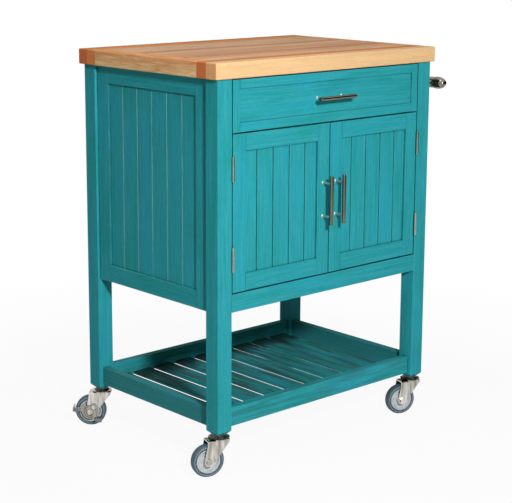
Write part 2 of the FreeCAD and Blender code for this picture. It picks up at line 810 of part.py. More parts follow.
# Wheel centre: boss, thin web and rim, turned about the axle
def caster_hub():
    bore = axle_radius + axle_hub_clearance
    rim_inner = hub_radius - hub_rim_thickness
    half = [
        (bore, hub_boss_width / 2),
        (hub_boss_radius, hub_boss_width / 2),
        (hub_boss_radius + hub_rim_thickness, hub_web_width / 2),
        (rim_inner - hub_rim_thickness, hub_web_width / 2),
        (rim_inner, hub_rim_width / 2),
        (hub_radius, hub_rim_width / 2),
    ]
    return wheel_turning(half)


# Rubber tyre with rounded shoulders round the rim
def caster_tyre():
    seat = hub_radius + tyre_seat_gap
    half = [
        (seat, hub_rim_width / 2),
        (seat + tyre_shoulder / 2, tyre_width / 2),
        (wheel_radius - tyre_shoulder, tyre_width / 2),
        (wheel_radius - tyre_shoulder_inset, tyre_width / 2 - tyre_shoulder_inset),
        (wheel_radius, tyre_width / 2 - tyre_shoulder),
    ]
    return wheel_turning(half)


# Turn a half section, given as radius and half width, about the axle with its mirror image
def wheel_turning(half):
    points = [Vec(-caster_trail + radius, y, wheel_radius) for radius, y in half]
    points += [Vec(-caster_trail + radius, -y, wheel_radius) for radius, y in reversed(half)]
    return turned(points, Vec(-caster_trail, 0, wheel_radius), Vec(0, 1, 0))


# Brake lever: a fan-shaped plate that rocks outside the fork, open round the axle's head, with a shoe bent
# over the tread, a rubber tip on the shoe's arm and a rubber pad on the foot
def brake_lever():
    out = Vec(0, -1, 0)
    axle = Vec(-caster_trail, -fork_outer - brake_side_gap, wheel_radius)
    pivot = axle + Vec(brake_pivot_x, 0, brake_pivot_z)
    shoe_x = axle.x - wheel_radius - brake_shoe_gap
    shoe = Vec(shoe_x - brake_plate + brake_arm_radius, axle.y, axle.z + brake_shoe_lift)
    foot = axle + Vec(brake_foot_x, 0, brake_foot_z)
    plate_face = axle.y - brake_plate
    fan = rod(brake_fan_radius, axle, out, brake_plate)
    fan_top = axle.z + brake_fan_lift
    fan = fan.cut(block(
        axle.x - brake_fan_radius, axle.x + brake_fan_radius, plate_face, axle.y,
        fan_top, fan_top + brake_fan_radius))
    web_corner = shoe + (pivot - shoe) * brake_web_share
    web = outline([web_corner, axle, tangent_foot(web_corner, axle, brake_fan_radius, -1)])
    lever = arm(shoe, pivot).fuse(arm(pivot, foot)).fuse(fan).fuse(web.extrude(out * brake_plate))
    lever = lever.fuse(rod(brake_hub_radius, pivot, out, brake_plate))
    lever = lever.cut(rod(brake_axle_hole_radius, axle, out, brake_plate))
    lever = lever.cut(rod(brake_pivot_radius + brake_pivot_clearance, pivot, out, brake_plate))
    shoe_low = shoe.z - brake_shoe_height / 2
    shoe_high = shoe.z + brake_shoe_height / 2
    lug = block(shoe_x - brake_plate, shoe_x, plate_face, tyre_width / 2, shoe_low, shoe_high)
    tip_start = shoe_x + brake_tip_inset
    tip = block(
        tip_start, tip_start + brake_tip_length, plate_face - brake_tip_thickness, plate_face,
        shoe_low, shoe_high)
    pad = block(
        foot.x - brake_pad_length / 2, foot.x + brake_pad_length / 2,
        plate_face - brake_pad_width, plate_face,
        foot.z - brake_pad_thickness / 2, foot.z + brake_pad_thickness / 2)
    pads = [piece.makeFillet(brake_pad_edge_radius, piece.Edges) for piece in (tip, pad)]
    return lever.fuse(lug).removeSplitter(), pads


# Flat arm with round ends between two points of the lever's plane
def arm(start, end):
    along = (end - start).normalize()
    across = Vec(-along.z, 0, along.x) * brake_arm_radius
    corners = [start + across, end + across, end - across, start - across]
    plate = outline(corners).extrude(Vec(0, -brake_plate, 0))
    for point in (start, end):
        plate = plate.fuse(rod(brake_arm_radius, point, Vec(0, -1, 0), brake_plate))
    return plate


# Shouldered rivet that carries the brake lever on the fork's side
def brake_rivet():
    start = Vec(-caster_trail + brake_pivot_x, -fork_outer, wheel_radius + brake_pivot_z)
    head_face = 2 * brake_side_gap + brake_plate
    shank = rod(brake_pivot_radius, start, Vec(0, -1, 0), head_face)
    head_start = start + Vec(0, -head_face, 0)
    head = rod(brake_pivot_head_radius, head_start, Vec(0, -1, 0), brake_pivot_head_height)
    return shank.fuse(head).removeSplitter()


def casters():
    stems = []
    for corner, (x, y) in CASTER_PLACES.items():
        angle = caster_angles[corner]
        stems.append(placed(caster_stem(), angle, x, y))
        fork = [caster_fork(), caster_axle()]
        if corner in BRAKED:
            fork.append(brake_rivet())
            lever, pads = brake_lever()
            nodes[corner + "_brake_lever"] = [placed(lever, angle, x, y)]
            nodes[corner + "_brake_pad"] = [placed(pad, angle, x, y) for pad in pads]
        nodes[corner + "_fork"] = [placed(piece, angle, x, y) for piece in fork]
        nodes[corner + "_hub"] = [placed(caster_hub(), angle, x, y)]
        nodes[corner + "_tyre"] = [placed(caster_tyre(), angle, x, y)]
    nodes["caster_stems"] = stems


worktop()
for corner_name, (corner_x, corner_y) in CASTER_PLACES.items():
    nodes[corner_name + "_leg"] = [leg(corner_x, corner_y)]
walls()
front_rails()
cupboard_inside()
lower_shelf()
doors()
drawer()
slides()
towel_bar()
casters()

# The origin is on the floor, under the middle of the box that holds the cart as it stands
whole = Part.makeCompound([solid for solids in nodes.values() for solid in solids]).BoundBox
origin_x = (whole.XMin + whole.XMax) / 2
origin_y = (whole.YMin + whole.YMax) / 2

os.makedirs("parts", exist_ok=True)
for node_name, solids in nodes.items():
    node = Part.makeCompound(solids) if len(solids) > 1 else solids[0]
    node.translate(Vec(-origin_x, -origin_y, 0))
    node.exportStep("parts/" + node_name + ".step")
print(len(nodes), "nodes,", sum(len(solids) for solids in nodes.values()), "solids")
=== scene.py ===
import bmesh
import bpy
import json
import math
from mathutils import Matrix, Vector


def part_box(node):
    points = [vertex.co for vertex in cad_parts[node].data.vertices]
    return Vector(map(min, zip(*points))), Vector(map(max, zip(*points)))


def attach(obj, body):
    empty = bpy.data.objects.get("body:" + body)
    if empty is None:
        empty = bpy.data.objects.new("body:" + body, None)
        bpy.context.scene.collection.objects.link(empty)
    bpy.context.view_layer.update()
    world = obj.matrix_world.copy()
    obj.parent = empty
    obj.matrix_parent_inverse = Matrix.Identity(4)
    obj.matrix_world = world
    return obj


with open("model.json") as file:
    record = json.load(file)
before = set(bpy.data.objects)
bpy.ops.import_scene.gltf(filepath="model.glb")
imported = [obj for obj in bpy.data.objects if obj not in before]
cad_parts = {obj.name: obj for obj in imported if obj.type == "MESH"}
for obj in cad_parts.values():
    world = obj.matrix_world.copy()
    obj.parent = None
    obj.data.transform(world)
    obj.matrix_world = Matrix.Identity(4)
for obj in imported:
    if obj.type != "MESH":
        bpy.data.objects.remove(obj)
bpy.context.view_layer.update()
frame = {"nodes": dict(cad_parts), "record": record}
nodes = frame["nodes"]
bpy.context.scene.view_settings.view_transform = "Standard"
print("frame loaded:", len(nodes), "nodes")


# shared helpers
def linear(hexColour):  # sRGB hex to the linear values that Blender wants
    parts = [int(hexColour[i:i + 2], 16) / 255 for i in (1, 3, 5)]
    return [p / 12.92 if p <= 0.04045 else ((p + 0.055) / 1.055) ** 2.4 for p in parts] + [1.0]


def addNode(tree, kind, sockets=None, ramp=None, **settings):  # one node, its settings and its links
    node = tree.nodes.new("ShaderNode" + kind)
    for key, value in settings.items():
        setattr(node, key, value)
    for key, value in (sockets or {}).items():
        if isinstance(value, bpy.types.NodeSocket):
            tree.links.new(value, node.inputs[key])
        else:
            node.inputs[key].default_value = value
    for i, (place, colour) in enumerate(ramp or []):
        stop = node.color_ramp.elements[i] if i < 2 else node.color_ramp.elements.new(place)
        stop.position = place
        stop.color = linear(colour)
    return node.outputs


def newMaterial(name):
    mat = bpy.data.materials.new(name)
    mat.use_nodes = True
    return mat, mat.node_tree, mat.node_tree.nodes["Principled BSDF"]


def dress(mat, *names):  # the CAD nodes that take this finish
    for name in names:
        slots = nodes[name].data.materials
        slots.clear()
        slots.append(mat)


def boxMm(name):  # lowest and highest corners of a CAD node, in mm
    low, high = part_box(name)
    return low * 1000, high * 1000


def middle(name):  # centre of a CAD node, in mm
    low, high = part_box(name)
    return (low + high) * 500


def newMesh(name, bm, mat):
    bmesh.ops.recalc_face_normals(bm, faces=bm.faces)
    mesh = bpy.data.meshes.new(name)
    bm.to_mesh(mesh)
    bm.free()
    mesh.materials.append(mat)
    thing = bpy.data.objects.new(name, mesh)
    bpy.context.scene.collection.objects.link(thing)
    return thing


def newPiece(name, bm, mat, body):
    piece = newMesh(name, bm, mat)
    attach(piece, body)
    return piece


# camera, fitted to the photograph's edges
cameraView = {
    "place": (-2.2380, -2.4389, 1.1783),
    "yaw": -42.333, "pitch": 11.27, "roll": 0.295,  # degrees
    "focalPixels": 1407.9, "frameWidth": 512, "sensorWidth": 36,  # pixels, pixels, mm
    "shift": -0.08,  # share of the frame's width
}


def makeCamera(view):
    yaw, pitch, roll = (math.radians(view[key]) for key in ("yaw", "pitch", "roll"))
    ahead = Vector((-math.sin(yaw) * math.cos(pitch), math.cos(yaw) * math.cos(pitch), -math.sin(pitch)))
    level = Vector((math.cos(yaw), math.sin(yaw), 0))
    above = level.cross(ahead)
    right = math.cos(roll) * level + math.sin(roll) * above
    up = right.cross(ahead)
    lens = bpy.data.cameras.new("photoCamera")
    lens.sensor_width = view["sensorWidth"]
    lens.lens = view["focalPixels"] * lens.sensor_width / view["frameWidth"]
    lens.shift_y = view["shift"]
    cam = bpy.data.objects.new("photoCamera", lens)
    cam.matrix_world = Matrix((right, up, -ahead)).transposed().to_4x4()
    cam.location = view["place"]
    bpy.context.scene.collection.objects.link(cam)
    bpy.context.scene.camera = cam


makeCamera(cameraView)

# studio: a softbox up on the left in front, a wide one overhead, a low one behind, white paper on the floor
studio = {
    "lamps": {  # from where, how far off, how wide, watts
        "keySoftbox": (Vector((-0.385, -0.82, 0.42)), 3.2, 0.34, 74),  # read from the shadows of the pulls
        "topSoftbox": (Vector((-0.25, -0.15, 1.0)), 2.4, 1.2, 16),
        "backSoftbox": (Vector((0.7, 0.75, -0.03)), 3.4, 0.7, 26),  # low: it lights only the far sides
    },
    "aim": Vector((0, 0, 0.5)), "roomLight": 0.07,
    "paper": "#D6D6D6", "paperRoughness": 0.9, "floorRadius": 60.0, "floorSides": 96,
    "shadowShare": 0.06, "shadowReach": (0.7, 1.6),
    "card": "#141414", "cardRadius": 2.6, "cardSteps": 24,
    "cards": {  # from and to in degrees from +X, then in metres from the floor
        "rightCard": (262, 352, 0.1, 2.3), "farCard": (352, 420, 0.1, 1.25)},
}


def seenRays(tree):  # 1 for rays that see the background directly, in a gloss or through glass
    path = addNode(tree, "LightPath")
    seen = path["Is Camera Ray"]
    for kind in ("Is Glossy Ray", "Is Transmission Ray"):
        seen = addNode(tree, "Math", {0: seen, 1: path[kind]}, operation="MAXIMUM")[0]
    return seen


def makeStudio(look):
    for name, (side, distance, width, watts) in look["lamps"].items():
        lamp = bpy.data.lights.new(name, "AREA")
        lamp.shape = "DISK"
        lamp.size = width
        lamp.energy = watts
        box = bpy.data.objects.new(name, lamp)
        away = side.normalized()
        box.location = look["aim"] + away * distance
        box.rotation_euler = away.to_track_quat("Z", "Y").to_euler()
        box.visible_glossy = name != "backSoftbox"  # the low lamp isn't mirrored in metal
        bpy.context.scene.collection.objects.link(box)

    world = bpy.data.worlds.new("paleRoom")
    world.use_nodes = True
    bpy.context.scene.world = world
    tree = world.node_tree
    strength = addNode(tree, "MapRange", {0: seenRays(tree), 3: look["roomLight"], 4: 1.0})[0]
    tree.links.new(strength, tree.nodes["Background"].inputs["Strength"])
    tree.nodes["Background"].inputs["Color"].default_value = (1, 1, 1, 1)

    mat, tree, shader = newMaterial("whitePaperFloor")  # seamless paper: white, with a soft contact shadow
    shader.inputs["Base Color"].default_value = linear(look["paper"])
    shader.inputs["Roughness"].default_value = look["paperRoughness"]
    shader.inputs["Specular IOR Level"].default_value = 0.0
    away = addNode(tree, "VectorMath", {0: addNode(tree, "TexCoord")["Object"]}, operation="LENGTH")["Value"]
    near, far = look["shadowReach"]
    white = addNode(tree, "MapRange", {0: away, 1: near, 2: far, 3: 1 - look["shadowShare"], 4: 1.0})[0]
    share = addNode(tree, "Math", {0: white, 1: seenRays(tree)}, operation="MULTIPLY")[0]
    glow = addNode(tree, "Emission", {"Color": (1, 1, 1, 1), "Strength": 1.0})[0]
    both = addNode(tree, "MixShader", {0: share, 1: shader.outputs[0], 2: glow})[0]
    tree.links.new(both, tree.nodes["Material Output"].inputs["Surface"])
    disc = bmesh.new()
    bmesh.ops.create_circle(disc, cap_ends=True, radius=look["floorRadius"], segments=look["floorSides"])
    newMesh("studioFloor", disc, mat)


def makeCards(look):  # curved black cards, seen only in gloss: they give bright metal its dark edges
    mat, _, shader = newMaterial("blackCardBoard")
    shader.inputs["Base Color"].default_value = linear(look["card"])
    shader.inputs["Specular IOR Level"].default_value = 0.0
    for name, (start, end, low, high) in look["cards"].items():
        bm = bmesh.new()
        columns = []
        for i in range(look["cardSteps"] + 1):
            turn = math.radians(start + (end - start) * i / look["cardSteps"])
            x, y = look["cardRadius"] * math.cos(turn), look["cardRadius"] * math.sin(turn)
            columns.append([bm.verts.new((x, y, z)) for z in (low, high)])
        for (a, b), (c, d) in zip(columns, columns[1:]):
            bm.faces.new((a, c, d, b))
        flag = newMesh(name, bm, mat)
        for kind in ("camera", "diffuse", "shadow", "transmission", "volume_scatter"):
            setattr(flag, "visible_" + kind, False)


makeStudio(studio)
makeCards(studio)
print("camera and studio made")


# wood: the grain of each board runs along its length
boardShift = (97.0, 41.0, 523.0)  # mm from one board's stretch of wood to the next board's
turnedFrom = 2.0  # boards of a frame that lie the other way are numbered from here
noiseLow, noiseHigh = 0.3, 0.7  # most of a noise's values lie between these
flatMatch, edgeMatch = 0.99, 0.8  # how well a bevelled normal matches the plain one on a face, on an edge


def grainSpace(tree, board):
    place = addNode(tree, "TexCoord")["Object"]
    inMm = addNode(tree, "VectorMath", {0: place, "Scale": 1000.0}, operation="SCALE")[0]
    axis = dict(zip("XYZ", addNode(tree, "SeparateXYZ", {0: inMm})))
    order = {"X": "YZX", "Y": "XZY", "Z": "XYZ"}  # across, across, along
    run = addNode(tree, "CombineXYZ", {i: axis[a] for i, a in enumerate(order[board["along"]])})[0]
    number = None
    if "turn" in board:  # boards of one frame that lie the other way
        turn = board["turn"]
        off = addNode(tree, "Math", {0: axis[turn["axis"]], 1: turn["mid"]}, operation="SUBTRACT")[0]
        off = addNode(tree, "Math", {0: off}, operation="ABSOLUTE")[0]
        turned = addNode(tree, "Math", {0: off, 1: turn["reach"]}, operation="LESS_THAN")[0]
        other = addNode(tree, "CombineXYZ", {i: axis[a] for i, a in enumerate(order[turn["to"]])})[0]
        run = addNode(tree, "Mix", {0: turned, 4: run, 5: other}, data_type="VECTOR")[1]
        first = addNode(tree, "Math", {0: axis[turn["axis"]], 1: turn["mid"]}, operation="GREATER_THAN")[0]
        last = addNode(tree, "Math", {0: axis[turn["split"]], 1: turn["level"]}, operation="GREATER_THAN")[0]
        last = addNode(tree, "Math", {0: last, 1: turnedFrom}, operation="ADD")[0]
        number = addNode(tree, "Mix", {0: turned, 2: first, 3: last}, data_type="FLOAT")[0]
    if "pitch" in board:  # boards side by side
        letter, start, width = board["pitch"]
        off = addNode(tree, "Math", {0: axis[letter], 1: start}, operation="SUBTRACT")[0]
        off = addNode(tree, "Math", {0: off, 1: width}, operation="DIVIDE")[0]
        number = addNode(tree, "Math", {0: off}, operation="FLOOR")[0]
    if number is not None:  # each board is cut from another stretch of wood
        shift = addNode(tree, "VectorMath", {0: boardShift, "Scale": number}, operation="SCALE")[0]
        run = addNode(tree, "VectorMath", {0: run, 1: shift}, operation="ADD")[0]
    return run, axis, number


def woodNoise(tree, run, sizeMm, detail=3.0, distortion=0.2):
    across, along = sizeMm
    perMm = (1 / across, 1 / across, 1 / along)
    stretched = addNode(tree, "VectorMath", {0: run, 1: perMm}, operation="MULTIPLY")[0]
    return addNode(tree, "TexNoise", {
        "Vector": stretched, "Scale": 1.0, "Detail": detail, "Roughness": 0.55, "Distortion": distortion})[0]


def wearAndHighlightEdges(tree, reachMm):  # 1 along the corners of a board, 0 on its faces
    soft = addNode(tree, "Bevel", {"Radius": reachMm / 1000}, samples=6)[0]
    plain = addNode(tree, "NewGeometry")["Normal"]
    same = addNode(tree, "VectorMath", {0: soft, 1: plain}, operation="DOT_PRODUCT")["Value"]
    return addNode(tree, "MapRange", {0: same, 1: flatMatch, 2: edgeMatch, 3: 0.0, 4: 1.0})[0]


# poplar with a hand-rubbed water stain: streaky teal, grain showing through, corners rubbed pale
tealStain = {
    "deep": "#2498A1", "even": "#2FA1AA", "pale": "#40ABB4", "blue": "#27A0B8", "green": "#1FA69E",
    # cornerShadeAndJoint: painted shade for inside corners, and the colour of the dark joints
    "rubbed": "#8ACDCB", "glaze": "#37483E", "cornerShadeAndJoint": "#052C30", "endShadeAndGlaze": "#182B27",
    "streakMm": (4, 130), "grainMm": (1.8, 15), "patchMm": (60, 220),  # across and along; grain drawn coarse
    "rubMm": (14, 60), "smearMm": (10, 150), "edgeMm": 2.2, "cornerMm": 5, "jointMm": 0.6,
    "grainTone": (0.93, 1.07), "patchTone": (0.94, 1.07),  # darkest and lightest, as factors
    "deepNoise": 0.26, "evenNoise": 0.5, "paleNoise": 0.78,
    "blueNoise": (0.52, 0.72), "greenNoise": (0.48, 0.28),  # where it begins and where it is full
    "glazeNoise": (0.42, 0.66), "wornNoise": (0.3, 0.65), "wornLeast": 0.25,
    # cornerShadeNear and cornerShadeShare: how the painted corner shade grows
    "cornerShadeNear": (0.78, 0.35), "cornerShadeShare": 0.9, "jointShare": 0.55,
    # endShadeAndGlaze and the endShade values: painted shadow with brown glaze on the slats' far ends
    "endShadeRise": (-0.35, 0.85), "endShadeNoise": (0.55, 1.0), "endShadeShare": 0.8,
    "roughness": (0.4, 0.56), "specular": 0.05, "bumpMm": 0.3, "bumpStrength": 0.35,
}


def stainedWood(name, board, patches=0.4, glaze=None, rub=0.5, groove=None, shadedEnds=None):
    look = tealStain
    mat, tree, shader = newMaterial(name)
    run, axis, number = grainSpace(tree, board)
    streak = woodNoise(tree, run, look["streakMm"])
    grain = woodNoise(tree, run, look["grainMm"], detail=2.0)
    patch = woodNoise(tree, run, look["patchMm"], detail=2.0, distortion=0.6)
    worn = woodNoise(tree, run, look["rubMm"])
    colour = addNode(tree, "ValToRGB", {0: streak}, ramp=[
        (look[tone + "Noise"], look[tone]) for tone in ("deep", "pale", "even")])[0]
    for tint in ("blue", "green"):  # patches where the stain took bluer or greener
        begin, full = look[tint + "Noise"]
        share = addNode(tree, "MapRange", {0: patch, 1: begin, 2: full, 3: 0.0, 4: patches})[0]
        colour = addNode(tree, "Mix", {0: share, 6: colour, 7: linear(look[tint])}, data_type="RGBA")[2]
    if glaze:  # brown glaze, wiped along the board
        smear = woodNoise(tree, run, look["smearMm"])
        begin, full = look["glazeNoise"]
        thin, thick = glaze
        share = addNode(tree, "MapRange", {0: smear, 1: begin, 2: full, 3: thin, 4: thick})[0]
        if "sideShade" in board:  # painted shade: an even grey-brown coat on the boards that lie the other way
            turned = addNode(tree, "Math", {0: number, 1: turnedFrom - 0.5}, operation="GREATER_THAN")[0]
            sideShade = addNode(tree, "Math", {0: turned, 1: board["sideShade"]}, operation="MULTIPLY")[0]
            share = addNode(tree, "Math", {0: share, 1: sideShade}, operation="MAXIMUM")[0]
        colour = addNode(tree, "Mix", {0: share, 6: colour, 7: linear(look["glaze"])}, data_type="RGBA")[2]
    for pattern, (dark, light) in ((grain, look["grainTone"]), (patch, look["patchTone"])):
        tone = addNode(tree, "MapRange", {0: pattern, 1: noiseLow, 2: noiseHigh, 3: dark, 4: light})[0]
        colour = addNode(tree, "Mix", {0: 1.0, 6: colour, 7: tone}, data_type="RGBA",
                         blend_type="MULTIPLY")[2]
    edge = wearAndHighlightEdges(tree, look["edgeMm"])
    begin, full = look["wornNoise"]
    broken = addNode(tree, "MapRange", {0: worn, 1: begin, 2: full, 3: look["wornLeast"], 4: 1.0})[0]
    if shadedEnds:  # painted shadow of the case above, with brown glaze, towards the slats' far ends
        letter, start, end = shadedEnds
        low, high = look["endShadeRise"]
        far = addNode(tree, "MapRange", {0: axis[letter], 1: start, 2: end, 3: low, 4: high})[0]
        far = addNode(tree, "Math", {0: far, 1: worn}, operation="ADD")[0]
        begin, full = look["endShadeNoise"]
        share = addNode(tree, "MapRange", {0: far, 1: begin, 2: full, 3: 0.0, 4: look["endShadeShare"]})[0]
        colour = addNode(tree, "Mix", {0: share, 6: colour, 7: linear(look["endShadeAndGlaze"])}, data_type="RGBA")[2]
    share = addNode(tree, "Math", {0: edge, 1: broken}, operation="MULTIPLY")[0]
    share = addNode(tree, "Math", {0: share, 1: rub}, operation="MULTIPLY")[0]
    colour = addNode(tree, "Mix", {0: share, 6: colour, 7: linear(look["rubbed"])}, data_type="RGBA")[2]
    # painted shade darkens inside corners, where stain also pools
    nearness = addNode(tree, "AmbientOcclusion", {"Distance": look["cornerMm"] / 1000}, samples=6)["AO"]
    begin, full = look["cornerShadeNear"]
    share = addNode(tree, "MapRange", {0: nearness, 1: begin, 2: full, 3: 0.0, 4: look["cornerShadeShare"]})[0]
    if "turn" in board:  # and a dark joint line between stile and rail, in the same colour
        turn = board["turn"]
        off = addNode(tree, "Math", {0: axis[turn["axis"]], 1: turn["mid"]}, operation="SUBTRACT")[0]
        off = addNode(tree, "Math", {0: off}, operation="ABSOLUTE")[0]
        joint = addNode(tree, "Math", {0: off, 1: turn["reach"], 2: look["jointMm"]}, operation="COMPARE")[0]
        joint = addNode(tree, "Math", {0: joint, 1: broken}, operation="MULTIPLY")[0]
        joint = addNode(tree, "Math", {0: joint, 1: look["jointShare"]}, operation="MULTIPLY")[0]
        share = addNode(tree, "Math", {0: share, 1: joint}, operation="MAXIMUM")[0]
    colour = addNode(tree, "Mix", {0: share, 6: colour, 7: linear(look["cornerShadeAndJoint"])}, data_type="RGBA")[2]
    if groove:  # lines painted in the V grooves, flank by flank
        off = addNode(tree, "Math", {0: axis[groove["axis"]], 1: groove["first"]}, operation="SUBTRACT")[0]
        half = groove["pitch"] / 2
        off = addNode(tree, "Math", {0: off, 1: half, 2: -half}, operation="WRAP")[0]
        rim, core = groove["width"] / 2, groove["core"]
        for flank, tint, share in groove["flanks"]:
            out = addNode(tree, "Math", {0: off, 1: flank}, operation="MULTIPLY")[0]
            inside = addNode(tree, "MapRange", {0: out, 1: rim, 2: core, 3: 0.0, 4: share})[0]
            begun = addNode(tree, "Math", {0: out, 1: 0.0}, operation="GREATER_THAN")[0]
            inside = addNode(tree, "Math", {0: inside, 1: begun}, operation="MULTIPLY")[0]
            inside = addNode(tree, "Math", {0: inside, 1: broken}, operation="MULTIPLY")[0]
            colour = addNode(tree, "Mix", {0: inside, 6: colour, 7: linear(tint)}, data_type="RGBA")[2]
    tree.links.new(colour, shader.inputs["Base Color"])
    shader.inputs["Specular IOR Level"].default_value = look["specular"]
    low, high = look["roughness"]
    gloss = addNode(tree, "MapRange", {0: streak, 1: noiseLow, 2: noiseHigh, 3: low, 4: high})[0]
    tree.links.new(gloss, shader.inputs["Roughness"])
    height = addNode(tree, "Math", {0: streak, 1: grain}, operation="ADD")[0]
    bump = addNode(tree, "Bump", {
        "Height": height, "Strength": look["bumpStrength"], "Distance": look["bumpMm"] / 1000})[0]
    tree.links.new(bump, shader.inputs["Normal"])
    return mat


# boards of the stained pieces, in mm
joinery = {
    "wallStile": 41.0, "doorStile": 37.0, "drawerBorder": 20.0, "stretcher": 25.0,
    "wallPlank": 52.7, "doorPlank": 48.0, "groove": 3.6, "grooveCore": 0.9,
    "endShadeReach": 130.0,  # the slats' far ends, under painted shadow and glaze
}
slat = {"count": 9, "width": 43.5, "screwInset": 4.0, "screwOut": 11.0}


def framed(name, wide, stile):  # upright stiles, rails between them
    low, high = boxMm(name)
    i = "XYZ".index(wide)
    return {"along": "Z", "turn": {
        "axis": wide, "mid": (low[i] + high[i]) / 2, "reach": (high[i] - low[i]) / 2 - stile, "to": wide,
        "split": "Z", "level": (low.z + high.z) / 2}}


def planked(name, wide, plank, shift):  # upright planks of one grooved panel
    mid = middle(name)["XYZ".index(wide)]
    return {"along": "Z", "pitch": (wide, mid + shift * plank, plank)}, mid + shift * plank


# on the wall panels a painted highlight on one flank of each groove and painted shade on the other; on the
# doors both flanks darker
grooveHighlight, brownLine = "#A3CCC4", "#143F3F"
lightAndShadeGroove = [(1, grooveHighlight, 0.75), (-1, brownLine, 0.9)]  # which flank, its colour, how much of it
brownGroove = [(1, brownLine, 0.95), (-1, brownLine, 0.95)]


def dressPaint():
    upright = stainedWood("teal_stain_leg", {"along": "Z"}, rub=0.65)
    dress(upright, *[n for n in nodes if n.endswith("_leg")])
    dress(stainedWood("teal_stain_front_rail", {"along": "X"}), "front_bottom_rail")
    sides = framed("left_side_frame", "Y", joinery["wallStile"])
    dress(stainedWood("teal_stain_side_frame", sides, rub=1.0), "left_side_frame", "right_side_frame")
    back = framed("back_frame", "X", joinery["wallStile"])
    dress(stainedWood("teal_stain_back_frame", back), "back_frame")
    for nodeNames, wide, plank, shift, flanks in (
        (("left_side_panel", "right_side_panel"), "Y", joinery["wallPlank"], 0, lightAndShadeGroove),
        (("back_panel",), "X", joinery["wallPlank"], 0, lightAndShadeGroove),
        (("left_door_panel",), "X", joinery["doorPlank"], 0.5, brownGroove),
        (("right_door_panel",), "X", joinery["doorPlank"], 0.5, brownGroove),
    ):
        board, first = planked(nodeNames[0], wide, plank, shift)
        groove = {"axis": wide, "first": first, "pitch": plank, "flanks": flanks,
                  "width": joinery["groove"], "core": joinery["grooveCore"]}
        dress(stainedWood("teal_stain_" + nodeNames[0], board, patches=0.5, groove=groove), *nodeNames)
    for side in ("left", "right"):
        door = side + "_door_frame"
        dress(stainedWood("teal_stain_" + door, framed(door, "X", joinery["doorStile"])), door)
    border = framed("drawer_front_frame", "X", joinery["drawerBorder"])
    dress(stainedWood("teal_stain_drawer_frame", border), "drawer_front_frame")
    dress(stainedWood("teal_stain_drawer_panel", {"along": "X"}), "drawer_front_panel")
    mid = middle("shelf_stretchers")
    low, high = boxMm("shelf_stretchers")
    reach = (high.y - low.y) / 2 - joinery["stretcher"]
    # sideShade: painted shade greying the side stretchers
    lying = {"along": "X", "sideShade": 0.35, "turn": {
        "axis": "Y", "mid": mid.y, "reach": reach, "to": "Y", "split": "X", "level": mid.x}}
    dress(stainedWood("teal_stain_stretcher", lying, patches=0.5, glaze=(0.0, 0.4), rub=0.6),
          "shelf_stretchers")
    low, high = boxMm("shelf_slats")
    pitch = (high.x - low.x - slat["width"]) / (slat["count"] - 1)
    slats = {"along": "Y", "pitch": ("X", low.x - (pitch - slat["width"]) / 2, pitch)}
    # painted shadow and glaze at the slats' rear ends
    rear = ("Y", high.y - joinery["endShadeReach"], high.y)
    dress(stainedWood("teal_stain_slat", slats, patches=0.85, glaze=(0.05, 0.85), shadedEnds=rear),
          "shelf_slats")


dressPaint()
print("stained wood dressed")

# rubberwood staves, glued edge to edge and oiled: honey to red-brown strips with fine pores, nearly matt
butcherBlock = {
    "tones": ["#EAB689", "#F0C199", "#E2A984", "#F2C59E", "#E6AF8B", "#DDA280"],
    "honey": "#F4C994", "rust": "#DE8C5A", "tan": "#EDA468", "heart": "#F2A26C", "sap": "#FFDBA0",
    "glue": "#7A4526", "glueShare": 0.45,
    "endGrain": "#FFE7DA", "endFacing": 0.7,  # end grain drinks more oil: darker and redder
    "figureMm": (9, 300), "staveFigureMm": (13, 260), "endFigureMm": (6, 60),  # across and along
    "grainMm": (2.4, 60), "poreMm": (1.6, 14), "jointMm": 0.9,  # pores and joints drawn coarse
    "figureTone": (0.3, 0.7, 0.82, 1.1),  # noise from and to, tone from and to
    "grainTone": (0.35, 0.65, 0.9, 1.06), "poreTone": (0.3, 0.42, 0.8, 1.0),
    "staveContrast": 1.3, "edgeContrast": 0.5, "endContrast": 0.7,  # the edge strips are planed clean
    "staveCount": 10, "strip": 32.0, "heartNoise": 0.2, "sapNoise": 0.8, "endLean": 0.2,
    "roughness": (0.7, 0.82), "specular": 0.05, "bumpMm": 0.25, "bumpStrength": 0.3,
}


